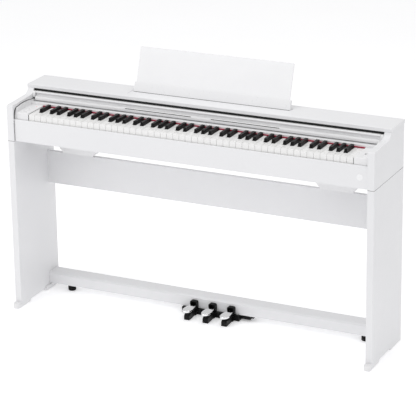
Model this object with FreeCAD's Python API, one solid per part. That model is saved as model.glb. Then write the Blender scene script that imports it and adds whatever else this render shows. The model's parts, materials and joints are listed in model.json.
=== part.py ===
import FreeCAD, Part
import math
import os

# Slim 88-key digital piano on its panel stand.  Millimetres.
# +X is the player's right, the front faces -Y, +Z is up.
# The origin is on the floor, at the middle of the footprint.

# ---- driving dimensions ----
OVERALL_WIDTH = 1386.0
OVERALL_DEPTH = 299.0
CASE_TOP = 801.0
FRONT = -OVERALL_DEPTH / 2
REAR = OVERALL_DEPTH / 2

PANEL_THICK = 24.0
TOP_OVERHANG = 2.5
PANEL_OUT = OVERALL_WIDTH / 2 - TOP_OVERHANG
PANEL_IN = PANEL_OUT - PANEL_THICK
PANEL_FRONT = -125.0
SEAM_Z = 632.0
FOOT_HEIGHT = 9.0

TOP_THICK = 13.5
TOP_FRONT = 27.0
TOP_BOTTOM = CASE_TOP - TOP_THICK

BACK_FRONT = 102.5
BACK_THICK = 15.0
BACK_BOTTOM = 408.0
BACK_TOP = 530.0

BAR_FRONT = 79.0
BAR_REAR = 139.0
BAR_BOTTOM = 22.0
BAR_TOP = 64.0
BAR_CHAMFER_Z = 58.0
BAR_CHAMFER_Y = 87.0

BOARD_THICK = 12.0
CASE_FLOOR = SEAM_Z + BOARD_THICK
RAIL_FRONT = -118.0
RAIL_TOP = 711.5
RAIL_LIP_BACK = -111.4
RAIL_BACK = -103.0
RAIL_SHOULDER = 695.0
RAIL_GAP = 1.5

REAR_PANEL_FRONT = 143.5
REAR_PANEL_BACK = 147.5

# keyboard: 52 white and 36 black keys, A0 to C8
OCTAVE = 164.5
WHITE_PITCH = OCTAVE / 7
WHITE_COUNT = 52
KEY_GAP = 1.0
KEY_TOP = 733.0
KEY_FRONT = -109.6
KEY_HEAD_DEPTH = 37.0
KEY_VISIBLE_REAR = -8.0
KEY_END = 104.0
KEY_PLATE_BOTTOM = 721.0
KEY_LIP_BOTTOM = 709.0
KEY_LIP_THICK = 5.6
LEVER_TOP = 729.0
LEVER_BOTTOM = 713.0
BLACK_TOP = 745.0
BLACK_SLOT = 15.0
BLACK_WIDTH = 14.0
BLACK_TOP_WIDTH = 10.4
BLACK_SLANT = 5.0
PIVOT_Y = 98.0
PIVOT_Z = 720.0
PIVOT_R = 2.0
PIVOT_CLEARANCE = 0.06
KEYS_LEFT = -WHITE_PITCH * WHITE_COUNT / 2

CHEEK_IN = 612.6
CHEEK_FRONT = -110.6
CHEEK_TOP = 736.0
LINER_IN = 660.5
STRIP_FRONT = -4.2
STRIP_REAR = 48.0
STRIP_TOP = 744.0
FELT_TOP = 737.2
LINER_REAR = 60.0

# sliding key cover, drawn fully open
COVER_HALF = 655.0
COVER_FRONT = 12.0
COVER_REAR = 143.0
COVER_BOTTOM = 747.0
COVER_TOP = 779.0
COVER_PLATE = 7.0
GRIP_NEAR = 38.0
GRIP_FAR = 294.0
GRIP_BOTTOM = 757.0
GRIP_TOP = 759.6
SEAL_FRONT = 28.0

# music stand
MUSIC_LEAN = math.radians(18.5)
MUSIC_FRONT = 92.0
MUSIC_HEIGHT = 160.0
MUSIC_BASE_HALF = 299.0
MUSIC_PLATE_HALF = 293.0
MUSIC_BASE_HEIGHT = 34.0
MUSIC_BASE_THICK = 9.0
MUSIC_PLATE_THICK = 5.0
MUSIC_TONGUE_DEPTH = 8.0
MUSIC_TONGUE_THICK = 4.0
GROOVE_CLEARANCE = 0.4
TRAY_FRONT = 57.0
TRAY_HALF = 307.0
TRAY_DEPTH = 1.8

# pedals
PEDAL_MIDDLE = 7.0
PEDAL_PITCH = 73.0
PEDAL_PIVOT_Y = 125.0
PEDAL_PIVOT_Z = 16.0
PEDAL_SHAFT_R = 2.5
PEDAL_TIP = -5.0
PEDAL_TOP = 41.0
HOOD_FRONT = 64.0
HOOD_HALF = 13.5
HOOD_WALL = 2.7
HOOD_TOP = 51.5

LEVELER_X = 581.0
LEVELER_Y = 97.0
LEVELER_R = 14.5
LEVELER_STEM_R = 4.0

# speaker pods under the case
POD_X = 497.0
POD_HALF = 58.0
POD_BOTTOM = 557.5
POD_FLARE = 0.88
POD_FRONT = 27.0
POD_REAR = 97.0
POD_WALL = 3.0

HEADPHONE_X = -603.0
TERMINAL_X = -480.0
SOCKET_BOX_BOTTOM = 603.0
SOCKET_Z = 616.5
SOCKET_DEPTH = 20.0
JACK_R = 3.25
DC_R = 2.8

os.makedirs("parts", exist_ok=True)


def vec(x, y, z):
    return FreeCAD.Vector(x, y, z)


def box(x0, x1, y0, y1, z0, z1):
    return Part.makeBox(x1 - x0, y1 - y0, z1 - z0, vec(x0, y0, z0))


def rod(radius, start, end):
    """A cylinder from start to end."""
    along = end.sub(start)
    return Part.makeCylinder(radius, along.Length, start, along)


def wire_of(path):
    """A closed wire: each entry is a corner, or a pair (middle, end) of an arc."""
    edges = []
    here = path[0]
    for step in path[1:] + [path[0]]:
        if isinstance(step, tuple):
            edges.append(Part.Arc(here, step[0], step[1]).toShape())
            here = step[1]
        elif step.sub(here).Length > 0:
            edges.append(Part.LineSegment(here, step).toShape())
            here = step
    return Part.Wire(edges)


def prism(path, along):
    return Part.Face(wire_of(path)).extrude(along)


def across(points, x0, x1):
    """Extrude a side profile, given as (y, z) corners or ((y, z), (y, z)) arcs, along X."""
    path = []
    for point in points:
        if isinstance(point[0], tuple):
            path.append((vec(x0, *point[0]), vec(x0, *point[1])))
        else:
            path.append(vec(x0, *point))
    return prism(path, vec(x1 - x0, 0, 0))


def mirrored(shape):
    return shape.mirror(vec(0, 0, 0), vec(1, 0, 0))


def fused(shapes):
    whole = shapes[0]
    for shape in shapes[1:]:
        whole = whole.fuse(shape)
    return whole.removeSplitter()


def leaning(u, t):
    """(y, z) of a point u up the music stand's slope and t behind its front face."""
    y = MUSIC_FRONT + u * math.sin(MUSIC_LEAN) + t * math.cos(MUSIC_LEAN)
    z = CASE_TOP + u * math.cos(MUSIC_LEAN) - t * math.sin(MUSIC_LEAN)
    return (y, z)


def save(name, shape):
    shape.exportStep("parts/" + name + ".step")


# ---- stand ----
def bracket(x, y, z0, z1, leg):
    """A steel angle in the corner between a side panel's inner face and a rear face."""
    thick = 2.0
    flat = box(x - 40, x, y, y + thick, z0, z1)
    side = box(x - thick, x, y, y + leg, z0, z1)
    return fused([flat, side])


SCREW_HEAD_R = 4.5
SCREW_SHANK_R = 2.0


def screw(head_at, into, shank):
    """A pan-head screw: its head lies outside head_at and its shank runs along into."""
    head_thick = 2.4
    out = into * -head_thick
    head = rod(SCREW_HEAD_R, head_at, head_at.add(out))
    return fused([head, rod(SCREW_SHANK_R, head_at, head_at.add(into * shank))])


def stand_screws():
    """Bracket screws at both ends of the back panel and crossbar, and two under the bar."""
    screws = []
    for z, face in ((450, BACK_FRONT + BACK_THICK), (490, BACK_FRONT + BACK_THICK), (43, BAR_REAR)):
        screws.append(screw(vec(PANEL_IN - 26, face + 2.0, z), vec(0, -1, 0), 12))
    for z in (450, 490):
        screws.append(screw(vec(PANEL_IN - 2.0, BACK_FRONT + BACK_THICK + 18, z), vec(1, 0, 0), 12))
    screws.append(screw(vec(371, BAR_FRONT + 9, BAR_BOTTOM), vec(0, 0, 1), 20))
    return screws + [mirrored(one) for one in screws]


SCREW_GROUP = Part.makeCompound(stand_screws())


def stand_side():
    return box(PANEL_IN, PANEL_OUT, PANEL_FRONT, REAR, FOOT_HEIGHT, SEAM_Z)


def back_panel():
    rear = BACK_FRONT + BACK_THICK
    return box(-PANEL_IN, PANEL_IN, BACK_FRONT, rear, BACK_BOTTOM, BACK_TOP)


def leveler(x):
    """Knurled round foot with a plain stem that turns in the crossbar."""
    foot_edge = 3.0
    knob_top = 16.0
    stem_top = 50.0
    foot = Part.makeCylinder(LEVELER_R, knob_top, vec(x, LEVELER_Y, 0))
    sole_edge = [e for e in foot.Edges if e.BoundBox.ZMax < 1 and len(e.Vertexes) == 1]
    foot = foot.makeFillet(foot_edge, sole_edge)
    grips = 16
    for i in range(grips):
        turn = 2 * math.pi * i / grips
        at = vec(x + LEVELER_R * math.cos(turn), LEVELER_Y + LEVELER_R * math.sin(turn), foot_edge + 1)
        foot = foot.cut(Part.makeCylinder(0.9, knob_top, at))
    return fused([foot, Part.makeCylinder(LEVELER_STEM_R, stem_top, vec(x, LEVELER_Y, 0))])


def crossbar():
    profile = [(BAR_FRONT, BAR_BOTTOM), (BAR_FRONT, BAR_CHAMFER_Z), (BAR_CHAMFER_Y, BAR_TOP),
               (BAR_REAR, BAR_TOP), (BAR_REAR, BAR_BOTTOM)]
    bar = across(profile, -PANEL_IN, PANEL_IN)
    socket_r = LEVELER_STEM_R + PIVOT_CLEARANCE
    for x in (-LEVELER_X, LEVELER_X):
        bar = bar.cut(Part.makeCylinder(socket_r, 30, vec(x, LEVELER_Y, BAR_BOTTOM)))
    return bar


def feet():
    """Front foot caps with rounded noses, and rear feet with an inner lip."""
    side_gap = 0.5
    nose_top = 20.0
    x0 = PANEL_IN + side_gap
    x1 = PANEL_OUT - side_gap
    cap_rear = -60.0
    side = [(cap_rear, 0), (cap_rear, FOOT_HEIGHT), (PANEL_FRONT, FOOT_HEIGHT), (PANEL_FRONT, nose_top),
            (-136, nose_top), ((-145.5, 16), (FRONT, 7)), (FRONT, 3), ((FRONT + 1, 1), (FRONT + 3, 0))]
    corner = 9.0
    bend = corner * (1 - math.sqrt(0.5))
    under = -1.0
    plan = [vec(x0, cap_rear, under), vec(x0, FRONT + corner, under),
            (vec(x0 + bend, FRONT + bend, under), vec(x0 + corner, FRONT, under)),
            vec(x1 - corner, FRONT, under),
            (vec(x1 - bend, FRONT + bend, under), vec(x1, FRONT + corner, under)),
            vec(x1, cap_rear, under)]
    cap = across(side, x0, x1).common(prism(plan, vec(0, 0, nose_top + 2)))
    lip = 5.0
    rear_front = 50.0
    rear = fused([box(PANEL_IN - lip, PANEL_OUT, rear_front, REAR, 0, FOOT_HEIGHT),
                  box(PANEL_IN - lip, PANEL_IN, rear_front, REAR, FOOT_HEIGHT, FOOT_HEIGHT + 7)])
    return [cap, rear, mirrored(cap), mirrored(rear)]


def brackets():
    upper = bracket(PANEL_IN, BACK_FRONT + BACK_THICK, 435, 505, 28)
    lower = bracket(PANEL_IN, BAR_REAR, 30, 56, 9)
    return [upper, lower, mirrored(upper), mirrored(lower)]


# ---- pedal unit ----
def pedal_xs():
    return [PEDAL_MIDDLE + i * PEDAL_PITCH for i in (-1, 0, 1)]


SLOT_HALF = 8.0
PEDAL_SLOT_REAR = 133.0
SPRING_ROOM = 5.0


def pedal_base():
    """Flat housing under the crossbar with a slot and a floor rib for each pedal."""
    body_low = 2.0
    slot_floor = 5.0
    left = PEDAL_MIDDLE - 120
    right = PEDAL_MIDDLE + 105
    parts = [box(left, right, 66, BAR_REAR, body_low, BAR_BOTTOM)]
    parts.append(box(right, right + 38, 80, 112, 8, BAR_BOTTOM))
    parts.append(box(right + 38, right + 50, 84, 104, 14, BAR_BOTTOM))
    rib = [(62, body_low), (62, 26), (14, 20), (9, 15), (8, 0), (24, 0), (48, body_low)]
    for x in pedal_xs():
        parts.append(across(rib, x - 10.5, x + 10.5))
        parts.append(box(x - HOOD_HALF, x + HOOD_HALF, 54, 66, body_low, BAR_BOTTOM))
    base = fused(parts)
    for x in pedal_xs():
        edge = x + SLOT_HALF
        base = base.cut(box(x - SLOT_HALF, edge, HOOD_FRONT, PEDAL_SLOT_REAR, slot_floor, BAR_BOTTOM + 9))
        base = base.cut(box(edge, edge + SPRING_ROOM, 118, PEDAL_SLOT_REAR, slot_floor, BAR_BOTTOM + 1))
    shaft = rod(PEDAL_SHAFT_R, *shaft_ends())
    return base.cut(shaft)


def shaft_ends():
    reach = PEDAL_PITCH + 18
    return (vec(PEDAL_MIDDLE - reach, PEDAL_PIVOT_Y, PEDAL_PIVOT_Z),
            vec(PEDAL_MIDDLE + reach, PEDAL_PIVOT_Y, PEDAL_PIVOT_Z))


def torsion_spring(x):
    wire_r = 0.6
    turns = 3
    pitch = 1.45
    coil_r = 4.2
    helix = Part.makeHelix(pitch, pitch * turns, coil_r)
    profile = Part.Wire(Part.makeCircle(wire_r, vec(coil_r, 0, 0), vec(0, 1, 0)))
    coil = Part.Wire(helix).makePipeShell([profile], True, True)
    coil.rotate(vec(0, 0, 0), vec(0, 1, 0), 90)
    coil.translate(vec(x, PEDAL_PIVOT_Y, PEDAL_PIVOT_Z))
    return coil


def pedal_shaft():
    springs = [torsion_spring(x + 7.3) for x in pedal_xs()]
    return [rod(PEDAL_SHAFT_R, *shaft_ends())] + springs


def pedal_hoods():
    """Three round-topped hoods on the crossbar's front face."""
    corner = 6.0
    side = corner * (1 - math.sqrt(0.5))
    hoods = []
    for x in pedal_xs():
        shapes = []
        for inset in (0.0, HOOD_WALL):
            x0 = x - HOOD_HALF + inset
            x1 = x + HOOD_HALF - inset
            top = HOOD_TOP - inset
            y = HOOD_FRONT
            path = [vec(x0, y, BAR_BOTTOM), vec(x0, y, top - corner),
                    (vec(x0 + side, y, top - side), vec(x0 + corner, y, top)), vec(x1 - corner, y, top),
                    (vec(x1 - side, y, top - side), vec(x1, y, top - corner)), vec(x1, y, BAR_BOTTOM)]
            shapes.append(prism(path, vec(0, BAR_FRONT - HOOD_FRONT - inset, 0)))
        hoods.append(shapes[0].cut(shapes[1]))
    return hoods


def pedal(x):
    """Tear-shaped treadle, drop link and arm with the pivot eye."""
    plate_z = PEDAL_TOP - 5.0
    lip_z = PEDAL_TOP - 8.0
    neck = 9.0
    wide = 16.0
    wide_y = 18.0
    rear = 73.0
    plan = [vec(x - neck, rear, lip_z), vec(x - neck, 58, lip_z),
            (vec(x - 14.2, 40, lip_z), vec(x - wide, wide_y, lip_z)),
            (vec(x, PEDAL_TIP, lip_z), vec(x + wide, wide_y, lip_z)),
            (vec(x + 14.2, 40, lip_z), vec(x + neck, 58, lip_z)), vec(x + neck, rear, lip_z)]
    tread = prism(plan, vec(0, 0, PEDAL_TOP - lip_z))
    tip_edges = [e for e in tread.Edges if e.BoundBox.ZMin > PEDAL_TOP - 1 and e.BoundBox.YMax < 62]
    tread = tread.makeFillet(2.0, tip_edges)
    hollow = box(x - 12, x + 12, 16, rear + 1, lip_z - 1, plate_z)
    tread = tread.cut(hollow)
    arm_half = 6.0
    link = box(x - arm_half, x + arm_half, 68, rear, PEDAL_PIVOT_Z - 3, plate_z)
    arm = box(x - arm_half, x + arm_half, 68, PEDAL_PIVOT_Y, PEDAL_PIVOT_Z - 3, PEDAL_PIVOT_Z + 3)
    left_face = vec(x - arm_half, PEDAL_PIVOT_Y, PEDAL_PIVOT_Z)
    right_face = vec(x + arm_half, PEDAL_PIVOT_Y, PEDAL_PIVOT_Z)
    eye = rod(5.5, left_face, right_face)
    bore = rod(PEDAL_SHAFT_R + PIVOT_CLEARANCE, left_face, right_face)
    return fused([tread, link, arm, eye]).cut(bore)


# ---- case ----
def case_side():
    """Side wall whose top edge sweeps up to the top board."""
    nose = 6.0
    shoulder = 763.5
    profile = [(PANEL_FRONT, SEAM_Z), (PANEL_FRONT, shoulder - nose),
               ((PANEL_FRONT + 1.8, shoulder - 1.8), (PANEL_FRONT + nose, shoulder)),
               (0.0, 768.0), ((16.5, 774.0), (TOP_FRONT, TOP_BOTTOM)), (REAR, TOP_BOTTOM), (REAR, SEAM_Z)]
    return across(profile, PANEL_IN, PANEL_OUT)


def top_board():
    half = OVERALL_WIDTH / 2
    soft = 3.0
    bend = soft * (1 - math.sqrt(0.5))
    profile = [(TOP_FRONT, TOP_BOTTOM + 1), (TOP_FRONT, CASE_TOP - soft),
               ((TOP_FRONT + bend, CASE_TOP - bend), (TOP_FRONT + soft, CASE_TOP)),
               (REAR, CASE_TOP), (REAR, TOP_BOTTOM), (TOP_FRONT + 1, TOP_BOTTOM)]
    board = across(profile, -half, half)
    tray_rear = MUSIC_FRONT + 14
    board = board.cut(box(-TRAY_HALF, TRAY_HALF, TRAY_FRONT, tray_rear, CASE_TOP - TRAY_DEPTH, CASE_TOP + 1))
    low = -MUSIC_TONGUE_DEPTH - GROOVE_CLEARANCE - TRAY_DEPTH
    near = 2.5 - GROOVE_CLEARANCE
    far = 2.5 + MUSIC_TONGUE_THICK + GROOVE_CLEARANCE
    groove = across([leaning(low, near), leaning(12, near), leaning(12, far), leaning(low, far)],
                    -MUSIC_PLATE_HALF - 1, MUSIC_PLATE_HALF + 1)
    return board.cut(groove)


def front_rail():
    soft = 2.5
    bend = soft * (1 - math.sqrt(0.5))
    profile = [(RAIL_FRONT, SEAM_Z), (RAIL_FRONT, RAIL_TOP - soft),
               ((RAIL_FRONT + bend, RAIL_TOP - bend), (RAIL_FRONT + soft, RAIL_TOP)),
               (RAIL_LIP_BACK, RAIL_TOP), (RAIL_LIP_BACK, RAIL_SHOULDER), (RAIL_BACK, RAIL_SHOULDER),
               (RAIL_BACK, SEAM_Z)]
    return across(profile, -PANEL_IN + RAIL_GAP, PANEL_IN - RAIL_GAP)


def case_rear_panel():
    return box(-PANEL_IN, PANEL_IN, REAR_PANEL_FRONT, REAR_PANEL_BACK, SEAM_Z, TOP_BOTTOM)


def cheek_body():
    """Right-hand cheek: the block beside the keys and the liner under the cover's track."""
    soft = 3.0
    bend = soft * (1 - math.sqrt(0.5))
    block = across([(CHEEK_FRONT, CASE_FLOOR), (CHEEK_FRONT, CHEEK_TOP - soft),
                    ((CHEEK_FRONT + bend, CHEEK_TOP - bend), (CHEEK_FRONT + soft, CHEEK_TOP)),
                    (STRIP_FRONT, CHEEK_TOP), (STRIP_FRONT, CASE_FLOOR)], CHEEK_IN, PANEL_IN)
    low = CHEEK_TOP - 6
    block = block.cut(box(CHEEK_IN - 1, PANEL_IN + 1, CHEEK_FRONT - 1, RAIL_BACK, CASE_FLOOR - 1, RAIL_TOP))
    track = [(CHEEK_FRONT + 2, low), (CHEEK_FRONT + 2, 741), ((-106, 748), (-96, 751)),
             ((-45, 755.5), (5, 751.5)), (LINER_REAR, 748.4), (LINER_REAR, low)]
    return fused([block, across(track, LINER_IN, PANEL_IN)])


BUTTON_R = 5.5
BUTTON_ROOM = 0.3
POWER_AT = (-638.0, -88.0)
FUNCTION_AT = (-638.0, -64.0)
LED_AT = (-630.0, -21.0)
SLIDER_AT = (638.0, -60.0)
SLIDER_TRAVEL = 9.0
POCKET_FLOOR = CHEEK_TOP - 6.0


def cheek_left():
    cheek = mirrored(cheek_body())
    for x, y in (POWER_AT, FUNCTION_AT):
        cheek = cheek.cut(Part.makeCylinder(BUTTON_R + BUTTON_ROOM, 10, vec(x, y, POCKET_FLOOR)))
    return cheek.cut(power_led())


def cheek_right():
    x, y = SLIDER_AT
    reach = SLIDER_TRAVEL + 4.0 + BUTTON_ROOM
    return cheek_body().cut(box(x - 2.8, x + 2.8, y - reach, y + reach, POCKET_FLOOR, CHEEK_TOP + 1))


def button(at):
    x, y = at
    cap = Part.makeCylinder(BUTTON_R, 6.0, vec(x, y, POCKET_FLOOR + 1.6))
    rim = [e for e in cap.Edges if e.BoundBox.ZMin > CHEEK_TOP and len(e.Vertexes) == 1]
    return cap.makeFillet(0.8, rim)


def volume_slider():
    x, y = SLIDER_AT
    stem = box(x - 2.5, x + 2.5, y - 4, y + 4, POCKET_FLOOR + 0.5, CHEEK_TOP + 0.3)
    cap = box(x - 5, x + 5, y - 5.5, y + 5.5, CHEEK_TOP + 0.3, CHEEK_TOP + 2.3)
    cap = cap.cut(rod(6.0, vec(x - 9, y, CHEEK_TOP + 7.7), vec(x + 9, y, CHEEK_TOP + 7.7)))
    return fused([stem, cap])


def power_led():
    x, y = LED_AT
    return Part.makeCylinder(1.6, 3.4, vec(x, y, CHEEK_TOP - 3))


def key_cover():
    """Sliding cover: a flat plate whose front lip has a cove along it and two long finger grips."""
    under = COVER_TOP - COVER_PLATE
    lip = COVER_FRONT
    profile = [(lip + 3.2, COVER_BOTTOM), ((lip, 754.5), (lip + 4.6, 762)),
               ((lip + 12.5, 768.6), (lip + 3.6, 775.2)), ((lip + 5.2, 777.9), (lip + 8.5, COVER_TOP)),
               (COVER_REAR, COVER_TOP), (COVER_REAR, under), (lip + 29, under),
               ((lip + 18, 766), (lip + 11, 757)), (lip + 10, COVER_BOTTOM)]
    cover = across(profile, -COVER_HALF, COVER_HALF)
    for x0, x1 in ((-GRIP_FAR, -GRIP_NEAR), (GRIP_NEAR, GRIP_FAR)):
        cover = cover.cut(box(x0, x1, lip - 5, lip + 8, GRIP_BOTTOM, GRIP_TOP))
    return cover


def music_base():
    """Lower rail of the music stand with the tongue that drops into the top board."""
    foot_z = CASE_TOP - TRAY_DEPTH + 0.3
    slope = math.tan(MUSIC_LEAN)
    front_foot = (MUSIC_FRONT + (foot_z - CASE_TOP) * slope, foot_z)
    rear_t = MUSIC_BASE_THICK
    rear_y = MUSIC_FRONT + rear_t / math.cos(MUSIC_LEAN) + (foot_z - CASE_TOP) * slope
    rail = across([front_foot, leaning(MUSIC_BASE_HEIGHT, 0), leaning(MUSIC_BASE_HEIGHT, rear_t),
                   (rear_y, foot_z)], -MUSIC_BASE_HALF, MUSIC_BASE_HALF)
    low = -MUSIC_TONGUE_DEPTH - TRAY_DEPTH
    tongue = across([leaning(low, 2.5), leaning(6, 2.5), leaning(6, 2.5 + MUSIC_TONGUE_THICK),
                     leaning(low, 2.5 + MUSIC_TONGUE_THICK)], -MUSIC_PLATE_HALF, MUSIC_PLATE_HALF)
    return fused([rail, tongue])


def music_plate():
    """Desk plate: it stands on the lower rail and leans back."""
    corner = 4.0
    bend = corner * (1 - math.sqrt(0.5))
    half = MUSIC_PLATE_HALF

    def at(x, u):
        return vec(x, *leaning(u, 1.5))

    top = MUSIC_HEIGHT
    path = [at(-half, MUSIC_BASE_HEIGHT), at(-half, top - corner),
            (at(-half + bend, top - bend), at(-half + corner, top)), at(half - corner, top),
            (at(half - bend, top - bend), at(half, top - corner)), at(half, MUSIC_BASE_HEIGHT)]
    behind = vec(0, math.cos(MUSIC_LEAN), -math.sin(MUSIC_LEAN))
    return prism(path, behind * MUSIC_PLATE_THICK)


def badge():
    disc = rod(11.0, vec(637, RAIL_FRONT, 671.5), vec(637, RAIL_FRONT - 0.9, 671.5))
    ring = rod(8.6, vec(637, RAIL_FRONT - 0.5, 671.5), vec(637, RAIL_FRONT - 2, 671.5))
    dot = rod(2.6, vec(637, RAIL_FRONT - 0.4, 671.5), vec(637, RAIL_FRONT - 0.9, 671.5))
    return fused([disc.cut(ring), dot])


def key_felt():
    """Felt strip on the front of the rear strip, just above the keys."""
    half = CHEEK_IN - 1
    return box(-half, half, KEY_VISIBLE_REAR + 0.5, STRIP_FRONT, KEY_TOP + 0.6, FELT_TOP)


def slot_seal():
    """Dust seal that hangs from the top board over the key cover."""
    half = PANEL_IN - 2
    return box(-half, half, SEAL_FRONT, SEAL_FRONT + 4, COVER_TOP + 0.5, TOP_BOTTOM)


# ---- inside and under the case ----
def speaker_pod(x):
    """Tapered speaker box, open to the case, with a slotted floor."""
    def shell(inset, top):
        low = POD_BOTTOM + inset
        rise = top - POD_BOTTOM
        half_low = POD_HALF - inset * 0.6
        half_top = POD_HALF + POD_FLARE * rise - inset * 1.3
        path = [vec(x - half_low, POD_FRONT + inset, low), vec(x - half_top, POD_FRONT + inset, top),
                vec(x + half_top, POD_FRONT + inset, top), vec(x + half_low, POD_FRONT + inset, low)]
        return prism(path, vec(0, POD_REAR - POD_FRONT - 2 * inset, 0))

    pod = shell(0, SEAM_Z).cut(shell(POD_WALL, SEAM_Z + 5))
    slots = 9
    pitch = 10.0
    for i in range(slots):
        middle = x + (i - (slots - 1) / 2) * pitch
        pod = pod.cut(box(middle - 2.2, middle + 2.2, POD_FRONT + 12, POD_REAR - 12,
                          POD_BOTTOM - 1, POD_BOTTOM + POD_WALL + 1))
    return pod


def speaker_driver(x):
    """Basket ring, cone and magnet of a small full-range driver."""
    y = (POD_FRONT + POD_REAR) / 2
    base = POD_BOTTOM + POD_WALL
    ring = Part.makeCylinder(30, 4, vec(x, y, base)).cut(Part.makeCylinder(26, 4, vec(x, y, base)))
    outer = Part.makeCone(28, 14, 22, vec(x, y, base + 4))
    inner = Part.makeCone(26, 12.4, 21, vec(x, y, base + 4))
    magnet = Part.makeCylinder(22, 12, vec(x, y, base + 26))
    return fused([ring, outer.cut(inner), magnet])


def main_board():
    """Circuit board on standoffs from the rear panel, with chips and connectors."""
    x0, x1 = -220.0, 120.0
    z0, z1 = 652.0, 742.0
    face = 135.0
    thick = 1.6
    parts = [box(x0, x1, face - thick, face, z0, z1)]
    for x in (x0 + 8, x1 - 8):
        for z in (z0 + 8, z1 - 8):
            parts.append(rod(3.0, vec(x, face, z), vec(x, REAR_PANEL_FRONT, z)))
    for x, z, w, h, tall in ((-150, 700, 28, 28, 2.5), (-90, 690, 18, 10, 2), (-20, 705, 22, 22, 6),
                             (60, 690, 40, 16, 10), (-190, 672, 12, 20, 8), (10, 668, 50, 7, 7)):
        parts.append(box(x, x + w, face - thick - tall, face - thick, z, z + h))
    return fused(parts)


def key_chassis():
    """Steel key bed, pivot rail, front guide rail and the rod all keys turn on."""
    half = 605.0
    end = 613.0
    plate = box(-half, half, -95, 108, CASE_FLOOR, CASE_FLOOR + 3)
    rear_rail = box(-half, half, 88, 104, CASE_FLOOR + 3, 706)
    guide = box(-half, half, -74, -66, CASE_FLOOR + 3, 702)
    posts = []
    for side in (-1, 1):
        near = side * (half - 1)
        far = side * (end + 8)
        shelf = box(min(near, far), max(near, far), 88, 108, CASE_FLOOR, CASE_FLOOR + 3)
        post = box(min(side * end, far), max(side * end, far), 90, 106, CASE_FLOOR, 728)
        posts += [shelf, post]
    pivot = rod(PIVOT_R, vec(-end - 4, PIVOT_Y, PIVOT_Z), vec(end + 4, PIVOT_Y, PIVOT_Z))
    return fused([plate, rear_rail, guide] + posts + [pivot])


def key_sensor_board():
    """Contact board under the key levers with one rubber switch strip."""
    board = box(-600, 600, -30, 20, 690, 691.6)
    strip = box(-598, 598, -12, 2, 691.6, 697)
    legs = [box(x - 4, x + 4, -28, -20, CASE_FLOOR + 3, 690) for x in (-560, -280, 0, 280, 560)]
    return fused([board, strip] + legs)


def socket_box(half, front, rear, mouth, sockets):
    """Hollow housing under the case with socket blocks, given as (x, bore radius), in its mouth wall."""
    wall = 2.5
    block_half = 7.5
    block_depth = 24.0
    middle = sum(x for x, bore_r in sockets) / len(sockets)
    body = box(middle - half, middle + half, front, rear, SOCKET_BOX_BOTTOM, SEAM_Z)
    body = body.cut(box(middle - half + wall, middle + half - wall, front + wall, rear - wall,
                        SOCKET_BOX_BOTTOM + wall, SEAM_Z + 1))
    inward = 1 if mouth == front else -1
    blocks = []
    for x, bore_r in sockets:
        ends = sorted((mouth, mouth + inward * block_depth))
        block = box(x - block_half, x + block_half, *ends, SOCKET_Z - block_half, SOCKET_Z + block_half)
        body = body.cut(block)
        opening = vec(x, mouth, SOCKET_Z)
        blocks.append(block.cut(rod(bore_r, opening, opening.add(vec(0, inward * SOCKET_DEPTH, 0)))))
    return [body] + blocks


def headphone_box():
    """Two headphone sockets that face the player."""
    return socket_box(32.0, -40.0, 20.0, -40.0, [(HEADPHONE_X - 12, JACK_R), (HEADPHONE_X + 12, JACK_R)])


def terminal_box():
    """Supply inlet and two line sockets that face the rear."""
    mouth = REAR - 0.3
    sockets = [(TERMINAL_X - 22, DC_R), (TERMINAL_X, JACK_R), (TERMINAL_X + 22, JACK_R)]
    return socket_box(42.0, 107.0, mouth, mouth, sockets)


# ---- keys ----
WHITE_CLASSES = (0, 2, 4, 5, 7, 9, 11)
NAMES = ("c", "cs", "d", "ds", "e", "f", "fs", "g", "gs", "a", "as", "b")
LOW_NOTE = 21
HIGH_NOTE = 108
MIDDLE_OCTAVE = range(60, 72)


def white_left(note):
    """Left edge of a white key; counts white keys from the lowest A."""
    octaves, step = divmod(note, 12)
    index = octaves * 7 + WHITE_CLASSES.index(step)
    low_octaves, low_step = divmod(LOW_NOTE, 12)
    first = low_octaves * 7 + WHITE_CLASSES.index(low_step)
    return KEYS_LEFT + (index - first) * WHITE_PITCH


def black_centre(note):
    """Black keys sit so that the tails of each group of keys share its width equally."""
    step = note % 12
    base = note - step
    if step < 5:
        return white_left(base + 12) - OCTAVE + (step + 0.5) * 3 * WHITE_PITCH / 5
    return white_left(base + 12) - 4 * WHITE_PITCH + (step - 5 + 0.5) * 4 * WHITE_PITCH / 7


def is_white(note):
    return note % 12 in WHITE_CLASSES


def white_key(note):
    left = white_left(note) + KEY_GAP / 2
    right = left + WHITE_PITCH - KEY_GAP
    tail_left = left
    tail_right = right
    if note > LOW_NOTE and not is_white(note - 1):
        tail_left = black_centre(note - 1) + BLACK_SLOT / 2
    if note < HIGH_NOTE and not is_white(note + 1):
        tail_right = black_centre(note + 1) - BLACK_SLOT / 2
    head_rear = KEY_FRONT + KEY_HEAD_DEPTH - KEY_GAP
    head = box(left, right, KEY_FRONT, head_rear, KEY_PLATE_BOTTOM, KEY_TOP)
    tail = box(tail_left, tail_right, head_rear, KEY_VISIBLE_REAR, KEY_PLATE_BOTTOM, KEY_TOP)
    lip = box(left, right, KEY_FRONT, KEY_FRONT + KEY_LIP_THICK, KEY_LIP_BOTTOM, KEY_PLATE_BOTTOM)
    lever = box(tail_left, tail_right, head_rear, KEY_END, LEVER_BOTTOM, LEVER_TOP)
    return fused([head, tail, lip, lever]).cut(pivot_bore(tail_left, tail_right))


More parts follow.
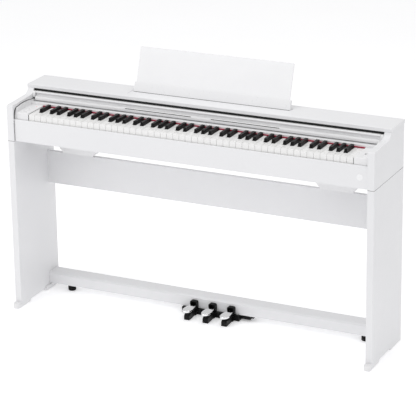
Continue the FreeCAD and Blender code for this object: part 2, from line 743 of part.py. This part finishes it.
def black_key(note):
    x = black_centre(note)
    half = BLACK_WIDTH / 2
    front = KEY_FRONT + KEY_HEAD_DEPTH
    base = rectangle(x, half, front, KEY_VISIBLE_REAR, KEY_PLATE_BOTTOM)
    top = rectangle(x, BLACK_TOP_WIDTH / 2, front + BLACK_SLANT, KEY_VISIBLE_REAR, BLACK_TOP)
    cap = Part.makeLoft([base, top], True, True)
    lever = box(x - half, x + half, front + 1, KEY_END, LEVER_BOTTOM, LEVER_TOP)
    return fused([cap, lever]).cut(pivot_bore(x - half, x + half))


def rectangle(x, half, y0, y1, z):
    return Part.makePolygon([vec(x - half, y0, z), vec(x + half, y0, z), vec(x + half, y1, z),
                             vec(x - half, y1, z), vec(x - half, y0, z)])


def pivot_bore(x0, x1):
    return rod(PIVOT_R + PIVOT_CLEARANCE, vec(x0 - 1, PIVOT_Y, PIVOT_Z), vec(x1 + 1, PIVOT_Y, PIVOT_Z))


def key(note):
    return white_key(note) if is_white(note) else black_key(note)


# Outside the middle octave the keys of one or two pitch classes share a node.
KEY_GROUPS = (("c", "f"), ("d", "g"), ("e", "a"), ("b",), ("cs", "gs"), ("ds", "as"), ("fs",))


MIDDLE_KEYS = [(name, note) for name, note in zip(NAMES, MIDDLE_OCTAVE)]


def grouped_keys(names):
    notes = [n for n in range(LOW_NOTE, HIGH_NOTE + 1) if n not in MIDDLE_OCTAVE and NAMES[n % 12] in names]
    return [key(n) for n in notes]


def drilled(shape):
    """The shape with the stand's screw holes taken out."""
    return shape.cut(SCREW_GROUP)


NODES = {
    "stand_side_left": drilled(mirrored(stand_side())),
    "stand_side_right": drilled(stand_side()),
    "back_panel": drilled(back_panel()),
    "crossbar": drilled(crossbar()),
    "feet": Part.makeCompound(feet()),
    "stand_brackets": Part.makeCompound([drilled(one) for one in brackets()]),
    "stand_screws": SCREW_GROUP,
    "leveler_left": leveler(-LEVELER_X),
    "leveler_right": leveler(LEVELER_X),
    "pedal_base": pedal_base(),
    "pedal_hoods": Part.makeCompound(pedal_hoods()),
    "pedal_shaft": Part.makeCompound(pedal_shaft()),
    "case_side_left": mirrored(case_side()),
    "case_side_right": case_side(),
    "top_board": top_board(),
    "front_rail": front_rail(),
    "bottom_board": box(-PANEL_IN, PANEL_IN, RAIL_BACK, REAR_PANEL_FRONT, SEAM_Z, CASE_FLOOR),
    "case_rear_panel": case_rear_panel(),
    "cheek_left": cheek_left(),
    "cheek_right": cheek_right(),
    "rear_strip": box(-LINER_IN, LINER_IN, STRIP_FRONT, STRIP_REAR, KEY_TOP, STRIP_TOP),
    "key_felt": key_felt(),
    "slot_seal": slot_seal(),
    "key_cover": key_cover(),
    "music_plate": music_plate(),
    "music_base": music_base(),
    "badge": badge(),
    "speaker_pods": Part.makeCompound([speaker_pod(-POD_X), speaker_pod(POD_X)]),
    "speaker_drivers": Part.makeCompound([speaker_driver(-POD_X), speaker_driver(POD_X)]),
    "main_board": main_board(),
    "key_chassis": key_chassis(),
    "key_sensor_board": key_sensor_board(),
    "terminal_box": Part.makeCompound(terminal_box()),
    "headphone_box": Part.makeCompound(headphone_box()),
    "power_led": power_led(),
    "power_button": button(POWER_AT),
    "function_button": button(FUNCTION_AT),
    "volume_slider": volume_slider(),
}
for name, x in zip(("pedal_soft", "pedal_sostenuto", "pedal_damper"), pedal_xs()):
    NODES[name] = pedal(x)
for name, note in MIDDLE_KEYS:
    NODES["key_middle_" + name] = key(note)
for names in KEY_GROUPS:
    NODES["keys_" + "_".join(names)] = Part.makeCompound(grouped_keys(names))

for name, shape in NODES.items():
    save(name, shape)
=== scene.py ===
import json
import math

import bmesh
import bpy
from mathutils import Matrix, Vector


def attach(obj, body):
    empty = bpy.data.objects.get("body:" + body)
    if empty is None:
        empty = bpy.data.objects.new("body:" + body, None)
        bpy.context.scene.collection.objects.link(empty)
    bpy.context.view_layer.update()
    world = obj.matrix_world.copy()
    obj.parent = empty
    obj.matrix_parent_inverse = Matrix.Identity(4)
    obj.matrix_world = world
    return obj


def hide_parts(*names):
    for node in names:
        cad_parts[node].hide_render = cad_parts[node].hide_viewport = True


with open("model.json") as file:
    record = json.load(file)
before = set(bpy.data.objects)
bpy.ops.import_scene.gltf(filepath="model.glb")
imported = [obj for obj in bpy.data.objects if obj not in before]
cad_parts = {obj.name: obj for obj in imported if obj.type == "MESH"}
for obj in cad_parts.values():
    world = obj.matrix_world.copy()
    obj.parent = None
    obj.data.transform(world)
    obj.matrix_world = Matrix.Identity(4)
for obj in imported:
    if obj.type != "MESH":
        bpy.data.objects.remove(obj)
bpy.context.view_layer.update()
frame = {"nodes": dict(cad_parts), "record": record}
NODES = frame["nodes"]
MM = 0.001

# The photograph's camera: where it stands, how it is turned, and its lens.
CAMERA_AT = (2.888, -5.913, 2.806)
CAMERA_AZIMUTH = 25.78
CAMERA_ELEVATION = 18.39
CAMERA_ROLL = -0.87
CAMERA_LENS = 174.1
CAMERA_SHIFT = -0.12

# Studio: strength of the surrounding light, then each soft box as (name, place, size, watts).
SURROUND = 0.66
LIGHTS_AIM = (0, 0, 0.6)
SOFTBOXES = (("key_light", (-2.4, -3.2, 3.6), (3.0, 2.4), 44),
             ("top_light", (0.4, -0.2, 3.8), (3.6, 2.4), 40))
FLOOR_HALF = 40.0
FLOOR_GLOW = 0.3


# ---- node-tree helper ----
class Shader:
    """Builds one procedural material: each method adds a node and returns its output."""

    def __init__(self, name, **sockets):
        self.material = bpy.data.materials.new(name)
        self.material.use_nodes = True
        self.tree = self.material.node_tree
        self.surface = self.tree.nodes["Principled BSDF"]
        for socket, value in sockets.items():
            self.surface.inputs[socket.replace("_", " ")].default_value = value
        self.place = self.add("ShaderNodeTexCoord").outputs["Object"]

    def add(self, kind, links=None, values=None, **settings):
        node = self.tree.nodes.new(kind)
        for key, value in settings.items():
            setattr(node, key, value)
        for socket, value in (values or {}).items():
            node.inputs[socket].default_value = value
        for socket, source in (links or {}).items():
            self.tree.links.new(source, node.inputs[socket])
        return node

    def stretched(self, scale):
        return self.add("ShaderNodeMapping", {"Vector": self.place}, {"Scale": scale}).outputs["Vector"]

    def noise(self, scale, detail=3.0, rough=0.5, vector=None):
        node = self.add("ShaderNodeTexNoise", {"Vector": vector or self.place},
                        {"Scale": scale, "Detail": detail, "Roughness": rough})
        return node.outputs["Fac"]

    def span(self, source, low, high, source_low=0.3, source_high=0.7):
        node = self.add("ShaderNodeMapRange", {"Value": source},
                        {"From Min": source_low, "From Max": source_high, "To Min": low, "To Max": high})
        return node.outputs["Result"]

    def blend(self, factor, first, second):
        node = self.add("ShaderNodeMix", {"Factor": factor}, data_type="RGBA")
        node.inputs["A"].default_value = (*first, 1)
        node.inputs["B"].default_value = (*second, 1)
        return node.outputs["Result"]

    def total(self, first, second, weight=1.0):
        node = self.add("ShaderNodeMath", {0: second, 2: first}, {1: weight}, operation="MULTIPLY_ADD")
        return node.outputs["Value"]

    def feed(self, socket, source):
        self.tree.links.new(source, self.surface.inputs[socket])

    def bump(self, height, distance, strength=1.0):
        node = self.add("ShaderNodeBump", {"Height": height}, {"Distance": distance, "Strength": strength})
        self.feed("Normal", node.outputs["Normal"])


# ---- materials ----
def painted_board(name, light, shade, rough, grain=0.00002):
    """Satin foil on board: faint mottling, uneven sheen and a fine leathery emboss."""
    s = Shader(name, IOR=1.48, Specular_IOR_Level=0.42)
    s.feed("Base Color", s.blend(s.span(s.noise(5.0, 4.0), 0, 1), light, shade))
    s.feed("Roughness", s.span(s.noise(38.0, 5.0), rough - 0.05, rough + 0.06))
    emboss = s.noise(1500.0, 2.0)
    s.bump(s.total(emboss, s.noise(220.0, 3.0), 0.8), grain)
    return s.material


def moulded(name, light, shade, rough, grain, scale=1800.0, specular=0.5):
    """Moulded plastic with a spark-eroded texture."""
    s = Shader(name, IOR=1.5, Specular_IOR_Level=specular)
    s.feed("Base Color", s.blend(s.span(s.noise(14.0, 3.0), 0, 1), light, shade))
    s.feed("Roughness", s.span(s.noise(90.0, 4.0), rough - 0.04, rough + 0.07))
    s.bump(s.noise(scale, 2.0), grain)
    return s.material


def key_material(name, light, shade, rough, grain, specular=0.5):
    """Key tops with a fine grain that runs along the key and a little handling polish."""
    s = Shader(name, IOR=1.5, Specular_IOR_Level=specular)
    along = s.stretched((1.0, 0.035, 1.0))
    fibres = s.noise(2600.0, 3.0, 0.6, along)
    s.feed("Base Color", s.blend(s.span(s.noise(60.0, 3.0, 0.5, along), 0, 1), light, shade))
    s.feed("Roughness", s.span(s.noise(55.0, 4.0), rough - 0.06, rough + 0.08))
    s.bump(fibres, grain)
    return s.material


def felt(name, light, shade, sheen):
    """Pressed felt: short curly fibres and clumps."""
    s = Shader(name, Roughness=0.95, Sheen_Weight=0.35, Sheen_Roughness=0.5, Sheen_Tint=(*sheen, 1))
    fibres = s.noise(2400.0, 6.0, 0.75)
    s.feed("Base Color", s.blend(s.span(fibres, 0, 1, 0.35, 0.65), light, shade))
    s.bump(s.total(fibres, s.noise(500.0, 4.0), 0.5), 0.0004)
    return s.material


def polished_metal(name, tint, rough, smear):
    """Chrome with faint wiping marks."""
    s = Shader(name, Metallic=1.0)
    wiped = s.noise(30.0, 5.0, 0.6, s.stretched((1.0, 3.0, 1.0)))
    s.feed("Base Color", s.blend(s.span(wiped, 0, 1), tint, tuple(c * 0.93 for c in tint)))
    s.feed("Roughness", s.span(wiped, rough, rough + smear))
    s.bump(s.noise(420.0, 2.0), 0.000004)
    return s.material


def rolled_steel(name, tint, rough):
    """Zinc-plated steel: spangle and rolling streaks."""
    s = Shader(name, Metallic=1.0)
    spangle = s.add("ShaderNodeTexVoronoi", {"Vector": s.place}, {"Scale": 260.0}).outputs["Distance"]
    s.feed("Base Color", s.blend(s.span(spangle, 0, 1, 0.0, 0.8), tint, tuple(c * 0.8 for c in tint)))
    streaks = s.noise(900.0, 3.0, 0.6, s.stretched((0.05, 1.0, 1.0)))
    s.feed("Roughness", s.span(streaks, rough, rough + 0.18))
    s.bump(streaks, 0.00001)
    return s.material


def circuit_board(name):
    """Green solder mask over copper tracks."""
    s = Shader(name, IOR=1.5)
    bricks = s.add("ShaderNodeTexBrick", {"Vector": s.place},
                   {"Scale": 90.0, "Mortar Size": 0.06, "Mortar Smooth": 0.1})
    tracks = bricks.outputs["Fac"]
    s.feed("Base Color", s.blend(tracks, (0.012, 0.11, 0.045), (0.03, 0.2, 0.08)))
    s.feed("Roughness", s.span(s.noise(120.0, 3.0), 0.28, 0.42))
    s.bump(tracks, 0.00003)
    return s.material


def lens_material(name):
    """Clear red lens with a faint glow and fine pits."""
    s = Shader(name, Roughness=0.18, IOR=1.49, Emission_Color=(0.9, 0.05, 0.06, 1), Emission_Strength=0.5)
    s.feed("Base Color", s.blend(s.span(s.noise(900.0, 2.0), 0, 1), (0.80, 0.05, 0.07), (0.62, 0.03, 0.05)))
    s.bump(s.noise(2500.0, 2.0), 0.00001)
    return s.material


MATERIALS = {
    "white_board": painted_board("white_foil", (0.800, 0.800, 0.812), (0.782, 0.782, 0.796), 0.36),
    "white_plastic": moulded("white_moulded", (0.815, 0.812, 0.820), (0.798, 0.796, 0.805), 0.34, 0.000012),
    "desk_white": moulded("desk_gloss", (0.865, 0.865, 0.875), (0.850, 0.850, 0.862), 0.20, 0.000004),
    "key_white": key_material("key_ivory", (0.845, 0.840, 0.836), (0.832, 0.826, 0.821), 0.26, 0.000004),
    "key_black": key_material("key_ebony", (0.0030, 0.0030, 0.0033), (0.0055, 0.0055, 0.0058), 0.34, 0.00002,
                              0.16),
    "felt_red": felt("crimson_felt", (0.42, 0.012, 0.05), (0.30, 0.006, 0.03), (0.9, 0.3, 0.4)),
    "felt_black": felt("black_felt", (0.006, 0.006, 0.006), (0.012, 0.012, 0.012), (0.2, 0.2, 0.2)),
    "black_plastic": moulded("black_moulded", (0.003, 0.003, 0.0033), (0.006, 0.006, 0.0065), 0.42, 0.00004,
                             1300.0, 0.18),
    "chrome": polished_metal("pedal_chrome", (0.93, 0.93, 0.94), 0.06, 0.10),
    "steel": rolled_steel("zinc_steel", (0.56, 0.57, 0.60), 0.30),
    "board_green": circuit_board("board_mask"),
    "lamp_red": lens_material("lamp_lens"),
    "badge_grey": moulded("badge_disc", (0.88, 0.88, 0.89), (0.86, 0.86, 0.87), 0.25, 0.000004),
}


# ---- carried-over CAD nodes ----
WELD_DISTANCE = 0.00001


def finish_node(name, slot_name):
    piece = NODES[name]
    piece.data.materials.clear()
    piece.data.materials.append(MATERIALS[slot_name])


def round_edges(piece, width, segments=3, sharper_than=40):
    """Rounds the edges sharper than an angle, in modifiers."""
    bevel = piece.modifiers.new("round_edges", "BEVEL")
    bevel.width = width
    bevel.segments = segments
    bevel.limit_method = "ANGLE"
    bevel.angle_limit = math.radians(sharper_than)
    bevel.harden_normals = True
    for polygon in piece.data.polygons:
        polygon.use_smooth = True
    normals = piece.modifiers.new("even_normals", "WEIGHTED_NORMAL")
    normals.keep_sharp = False


def soften(name, width):
    """Rounds a CAD node's sharp edges, once its face corners are joined."""
    weld = NODES[name].modifiers.new("weld", "WELD")
    weld.merge_threshold = WELD_DISTANCE
    round_edges(NODES[name], width, sharper_than=35)


for subpart in frame["record"]["subparts"]:
    finish_node(subpart["node"], subpart["material_slot"])
DESK_RAIL = moulded("desk_rail", (0.83, 0.83, 0.84), (0.815, 0.815, 0.826), 0.30, 0.000008)
NODES["music_base"].data.materials[0] = DESK_RAIL

# Edge radii in millimetres.
EDGE_ROUNDING = {
    "stand_side_left": 0.8, "stand_side_right": 0.8, "back_panel": 0.7, "crossbar": 0.7, "top_board": 0.6,
    "case_side_left": 0.9, "case_side_right": 0.9, "front_rail": 0.5, "music_plate": 0.8, "music_base": 0.8,
    "rear_strip": 0.5, "cheek_left": 0.4, "cheek_right": 0.4, "key_cover": 0.4, "speaker_pods": 0.8,
    "pedal_hoods": 0.7, "pedal_base": 0.7, "headphone_box": 0.4, "terminal_box": 0.4, "feet": 0.8,
    "bottom_board": 0.5, "case_rear_panel": 0.4, "badge": 0.15, "stand_brackets": 0.4,
}
for node_name, rounding in EDGE_ROUNDING.items():
    soften(node_name, rounding * MM)
KEY_ROUNDING = {"key_white": 0.35, "key_black": 1.1}
for subpart in frame["record"]["subparts"]:
    if subpart["material_slot"] in KEY_ROUNDING:
        soften(subpart["node"], KEY_ROUNDING[subpart["material_slot"]] * MM)


# ---- pieces made here ----
def make_piece(name, form, slot_name, body):
    """Turns a bmesh (in metres) into a smooth-shaded piece that rides on a body."""
    bmesh.ops.remove_doubles(form, verts=form.verts, dist=0.000001)
    bmesh.ops.recalc_face_normals(form, faces=form.faces)
    mesh = bpy.data.meshes.new(name)
    form.to_mesh(mesh)
    form.free()
    mesh.materials.append(MATERIALS[slot_name])
    piece = bpy.data.objects.new(name, mesh)
    bpy.context.scene.collection.objects.link(piece)
    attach(piece, body)
    return piece


def add_loops(form, loops, closed_ends=True):
    """Skins a row of equal vertex loops, each a list of points in millimetres."""
    rings = [[form.verts.new(Vector(point) * MM) for point in loop] for loop in loops]
    count = len(rings[0])
    for first, second in zip(rings, rings[1:]):
        for i in range(count):
            j = (i + 1) % count
            form.faces.new((first[i], first[j], second[j], second[i]))
    if closed_ends:
        form.faces.new(rings[0])
        form.faces.new(rings[-1])


def add_block(form, x0, x1, y0, y1, z0, z1):
    """A box between its limits in millimetres."""
    add_loops(form, [[(x, y0, z0), (x, y1, z0), (x, y1, z1), (x, y0, z1)] for x in (x0, x1)])


def smooth_line(points, steps=6):
    """A curve through the points (Catmull-Rom)."""
    ends = [points[0]] + points + [points[-1]]
    line = []
    for a, b, c, d in zip(ends, ends[1:], ends[2:], ends[3:]):
        for k in range(steps):
            t = k / steps
            line.append(tuple(0.5 * (2 * q + (r - p) * t + (2 * p - 5 * q + 4 * r - w) * t * t
                                     + (3 * q - p - 3 * r + w) * t ** 3) for p, q, r, w in zip(a, b, c, d)))
    return line + [points[-1]]


def strip_along(name, x0, x1, path, thick, slot_name, body="root"):
    """A strip from x0 to x1 along (y, z) points; thick gives its thickness from 0 to 1 of the way."""
    upper, lower = [], []
    for i, (y, z) in enumerate(path):
        before, after = path[max(i - 1, 0)], path[min(i + 1, len(path) - 1)]
        along = Vector((after[0] - before[0], after[1] - before[1])).normalized()
        reach = thick(i / (len(path) - 1)) / 2
        upper.append((y - along.y * reach, z + along.x * reach))
        lower.append((y + along.y * reach, z - along.x * reach))
    outline = upper + lower[::-1]
    form = bmesh.new()
    add_loops(form, [[(x, y, z) for y, z in outline] for x in (x0, x1)])
    piece = make_piece(name, form, slot_name, body)
    round_edges(piece, 0.2 * MM, 2)
    return piece


# Treadle in millimetres: outline half-widths from its widest place back to the pivot arm, and the section of
# its rolled rim as (distance in from the outline, height).
PEDAL_X = (("pedal_soft", -66.0), ("pedal_sostenuto", 7.0), ("pedal_damper", 80.0))
TREAD_WIDE = 17.4
TREAD_WIDE_Y = 18.0
TREAD_NOSE = 23.5
TREAD_NECK = 10.2
TREAD_NECK_Y = 63.0
TREAD_NECK_END = 66.0
TREAD_REAR = 72.5
TREAD_TAPER = 1.6
NOSE_STEPS = 20
SIDE_STEPS = 14
TREAD_SPINE = (14.0, 64.0)
TREAD_TOP = 41.0
TREAD_UNDER = 38.2
RIM_OUTSIDE = ((8.6, 40.95), (5.5, 40.7), (3.0, 40.2), (1.4, 39.4), (0.45, 38.3), (0.0, 36.9), (0.0, 33.8),
               (0.3, 32.6), (1.0, 32.0), (1.8, 32.4), (2.2, 33.4), (2.4, 37.2), (3.2, 38.0), (8.6, 38.2))
# The arm behind it: half its width, the drop link and the arm as (y0, y1, z0, z1), the pivot as (y, z).
ARM_HALF = 6
DROP_LINK = (67.0, 72.0, 14.0, TREAD_UNDER + 0.4)
ARM = (67.0, 121.0, 13.0, 19.0)
PIVOT = (125, 16)
PIVOT_BORE = 2.56
PIVOT_EYE = 5.5
EYE_STEPS = 32


def tread_outline():
    """Half an oval in front, then sides that draw in to the neck."""
    nose = []
    for k in range(NOSE_STEPS + 1):
        a = math.pi * k / NOSE_STEPS
        nose.append((TREAD_WIDE * math.cos(a), TREAD_WIDE_Y - TREAD_NOSE * math.sin(a)))
    side = []
    for k in range(1, SIDE_STEPS + 1):
        t = k / SIDE_STEPS
        x = TREAD_WIDE + (TREAD_NECK - TREAD_WIDE) * t ** TREAD_TAPER
        side.append((x, TREAD_WIDE_Y + (TREAD_NECK_Y - TREAD_WIDE_Y) * t))
    side += [(TREAD_NECK, TREAD_NECK_END), (TREAD_NECK, TREAD_REAR)]
    return nose + [(-x, y) for x, y in side] + side[::-1]


def pedal_piece(name, middle):
    """Domed treadle with a rolled rim, its drop link, the arm and the pivot eye."""
    outline = [Vector(point) for point in tread_outline()]
    spine = [Vector((0, min(max(point.y, TREAD_SPINE[0]), TREAD_SPINE[1]))) for point in outline]
    loops = [[(middle + c.x, c.y, TREAD_TOP) for c in spine]]
    for inset, z in RIM_OUTSIDE:
        moved = [p - (p - c).normalized() * inset for p, c in zip(outline, spine)]
        loops.append([(middle + p.x, p.y, z) for p in moved])
    loops.append([(middle + c.x, c.y, TREAD_UNDER) for c in spine])
    form = bmesh.new()
    add_loops(form, loops, closed_ends=False)
    add_block(form, middle - ARM_HALF, middle + ARM_HALF, *DROP_LINK)
    add_block(form, middle - ARM_HALF, middle + ARM_HALF, *ARM)
    around = [math.tau * k / EYE_STEPS for k in range(EYE_STEPS)]
    bore, eye = (-ARM_HALF, PIVOT_BORE), (-ARM_HALF, PIVOT_EYE)
    ring = []
    for x, radius in (bore, eye, (ARM_HALF, PIVOT_EYE), (ARM_HALF, PIVOT_BORE), bore):
        ring.append([(middle + x, PIVOT[0] + radius * math.cos(a), PIVOT[1] + radius * math.sin(a))
                     for a in around])
    add_loops(form, ring, closed_ends=False)
    piece = make_piece(name + "_treadle", form, "chrome", name)
    round_edges(piece, 0.5 * MM)
    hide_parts(name)


# The cover's track at each end of the case, in millimetres: x of its pieces, and their lines as (y, z).
TRACK_OUTER = 666.3
STOP_INNER = 664.4
STOP_LINE = [(-117.5, 713.5), (-117.0, 724.0), (-115.0, 735.5), (-111.0, 744.0), (-104.5, 750.0)]
# The black strip along the liner's curved top is painted shadow in the groove between the liner and the case
# side.
GROOVE_SHADOW_INNER = 664.7
GROOVE_SHADOW_LINE = [(-104.5, 749.6), (-96.0, 752.3), (-70.0, 756.0), (-45.0, 756.9), (-20.0, 755.6),
             (5.0, 752.4), (30.0, 750.3), (56.0, 749.6)]
END_INNER = 656.2
END_FRONT_LINE = [(16.0, 757.0), (13.6, 762.0), (14.2, 770.0), (15.8, 775.5), (18.5, 779.0)]
END_REAR_LINE = [(27.4, 779.0), (27.4, 757.0)]


def stop_thickness(t):
    return 1.6 + 3.6 * t


# Thickness of the painted groove shadow along the liner's top.
def groove_shadow_thickness(t):
    return 1.3 - 0.5 * t


def track_stop_and_groove_shadow(side, sign):
    """Rubber stop at the front of the liner, and a black strip along the liner's curved top that paints the
    shadow in its groove.
    """
    outer = sign * TRACK_OUTER
    strip_along("track_stop_" + side, sign * STOP_INNER, outer, smooth_line(STOP_LINE), stop_thickness,
                "black_plastic")
    strip_along("track_groove_shadow_" + side, sign * GROOVE_SHADOW_INNER, outer, smooth_line(GROOVE_SHADOW_LINE), groove_shadow_thickness,
                "black_plastic")


def track_end(side, sign):
    """White end block of the cover's track: it closes the gap between the cover's end and the case side."""
    form = bmesh.new()
    near, far = sorted((sign * END_INNER, sign * TRACK_OUTER))
    outline = smooth_line(END_FRONT_LINE) + END_REAR_LINE
    add_loops(form, [[(x, y, z) for y, z in outline] for x in (near, far)])
    round_edges(make_piece("track_end_" + side, form, "white_plastic", "root"), 0.6 * MM)


def blocks_piece(name, blocks, slot_name, body="root", rounding=0.15):
    """Several plain strips in one piece, with softened edges."""
    form = bmesh.new()
    for block in blocks:
        add_block(form, *block)
    round_edges(make_piece(name, form, slot_name, body), rounding * MM, 2)


def mirrored(x0, x1, *rest):
    """The block and its mirror image in the middle plane."""
    return (x0, x1, *rest), (-x1, -x0, *rest)


# Small strips as (x0, x1, y0, y1, z0, z1) in millimetres; all but the last are mirrored.
# Black strips that paint the shadow lines of flush joints: at the seam round each stand side, and in the gap
# between the front rail's end and the case side.
SIDE_SEAM_SHADOW = (666.3, 690.7, -125.2, 149.3, 631.5, 632.6)
RAIL_END_SHADOW = (665.9, 666.6, -118.7, -117.0, 634.0, 706.0)
# Black felt beside the outer keys; its black also paints the shadow line between the keys and the cheek
# blocks.
CHEEK_SHADOW_FELT = (611.1, 612.5, -110.4, -60.0, 712.5, 731.5)
# Black strips in the key cover's finger-grip grooves: painted shade inside the grooves.
GRIP_GROOVE_SHADOW = (38.5, 293.5, 15.6, 19.8, 757.1, 759.5)
# Black strip at the foot of the music desk's base: a painted shadow line under the base.
DESK_FOOT_SHADOW = (-298.6, 298.6, 90.9, 91.6, 799.3, 800.3)

# Rear panel screws in millimetres: head rings as (radius, height over the panel), then the cross recess as
# (reach, half-width, height).
SCREW_X = (-640, -430, -215, 0, 215, 430, 640)
SCREW_Z = (641, 779)
REAR_FACE = 147.5
HEAD_RINGS = ((3.9, -0.3), (3.9, 0.5), (3.5, 1.0), (2.7, 1.35))
RECESS = ((2.0, 0.45, 1.45), (1.6, 0.32, 0.4))


def cross_outline(reach, half):
    """Outline of a cross in (x, z), with every edge split in four."""
    quarter = [(reach, -half), (reach, half), (half, half)]
    corners = []
    for turn in range(4):
        for x, z in quarter:
            for _ in range(turn):
                x, z = -z, x
            corners.append((x, z))
    outline = []
    for (x0, z0), (x1, z1) in zip(corners, corners[1:] + corners[:1]):
        outline += [(x0 + (x1 - x0) * k / 4, z0 + (z1 - z0) * k / 4) for k in range(4)]
    return outline


def rear_screws():
    """Pan heads with a cross recess, in two rows on the rear panel."""
    form = bmesh.new()
    directions = [math.atan2(z, x) for x, z in cross_outline(*RECESS[0][:2])]
    for x in SCREW_X:
        for z in SCREW_Z:
            loops = [[(x + r * math.cos(a), REAR_FACE + h, z + r * math.sin(a)) for a in directions]
                     for r, h in HEAD_RINGS]
            for reach, half, h in RECESS:
                loops.append([(x + u, REAR_FACE + h, z + w) for u, w in cross_outline(reach, half)])
            add_loops(form, loops)
    piece = make_piece("rear_screws", form, "steel", "root")
    round_edges(piece, 0.08 * MM, 2)


rear_screws()
# Painted shadow lines at the side seams and the rail ends.
blocks_piece("side_seam_shadows", mirrored(*SIDE_SEAM_SHADOW) + mirrored(*RAIL_END_SHADOW), "black_plastic")
# Felt strips whose black also paints the shadow between the keys and the cheeks.
blocks_piece("cheek_shadow_felts", mirrored(*CHEEK_SHADOW_FELT), "felt_black")
# Painted shade in the cover's grip grooves, riding on the cover.
blocks_piece("grip_groove_shadows", mirrored(*GRIP_GROOVE_SHADOW), "black_plastic", "key_cover")
# Painted shadow line under the music desk's base.
blocks_piece("desk_foot_shadow", [DESK_FOOT_SHADOW], "black_plastic", "music_stand")
for pedal_name, pedal_x in PEDAL_X:
    pedal_piece(pedal_name, pedal_x)
for side_name, side_sign in (("left", -1), ("right", 1)):
    track_stop_and_groove_shadow(side_name, side_sign)
    track_end(side_name, side_sign)


# ---- stage ----
def floor():
    mesh = bpy.data.meshes.new("floor")
    far = FLOOR_HALF
    corners = [(-far, -far, 0), (far, -far, 0), (far, far, 0), (-far, far, 0)]
    mesh.from_pydata(corners, [], [(0, 1, 2, 3)])
    piece = bpy.data.objects.new("floor", mesh)
    bpy.context.scene.collection.objects.link(piece)
    s = Shader("floor_paint", Roughness=0.9, Specular_IOR_Level=0.2, Emission_Color=(1, 1, 1, 1),
               Emission_Strength=FLOOR_GLOW)
    s.feed("Base Color", s.blend(s.span(s.noise(2.0, 3.0), 0, 1), (0.93, 0.93, 0.94), (0.92, 0.92, 0.93)))
    mesh.materials.append(s.material)


def softbox(name, at, size, power):
    light = bpy.data.lights.new(name, "AREA")
    light.shape = "RECTANGLE"
    light.size, light.size_y = size
    light.energy = power
    holder = bpy.data.objects.new(name, light)
    holder.location = at
    holder.rotation_euler = (Vector(LIGHTS_AIM) - Vector(at)).to_track_quat("-Z", "Y").to_euler()
    bpy.context.scene.collection.objects.link(holder)


def studio():
    world = bpy.data.worlds.new("studio")
    world.use_nodes = True
    sky = world.node_tree.nodes["Background"]
    sky.inputs["Color"].default_value = (1.0, 1.0, 1.0, 1)
    sky.inputs["Strength"].default_value = SURROUND
    bpy.context.scene.world = world
    for box in SOFTBOXES:
        softbox(*box)
    bpy.context.scene.view_settings.view_transform = "Standard"


def camera():
    """Stands at CAMERA_AT, turned by azimuth, elevation and roll."""
    lens = bpy.data.cameras.new("camera")
    lens.lens = CAMERA_LENS
    lens.shift_y = CAMERA_SHIFT
    lens.clip_end = 200
    holder = bpy.data.objects.new("camera", lens)
    turn = Matrix.Rotation(math.radians(CAMERA_AZIMUTH), 4, "Z")
    tilt = Matrix.Rotation(math.radians(90 - CAMERA_ELEVATION), 4, "X")
    roll = Matrix.Rotation(math.radians(CAMERA_ROLL), 4, "Z")
    holder.matrix_world = Matrix.Translation(CAMERA_AT) @ turn @ tilt @ roll
    bpy.context.scene.collection.objects.link(holder)
    bpy.context.scene.camera = holder


floor()
studio()
camera()
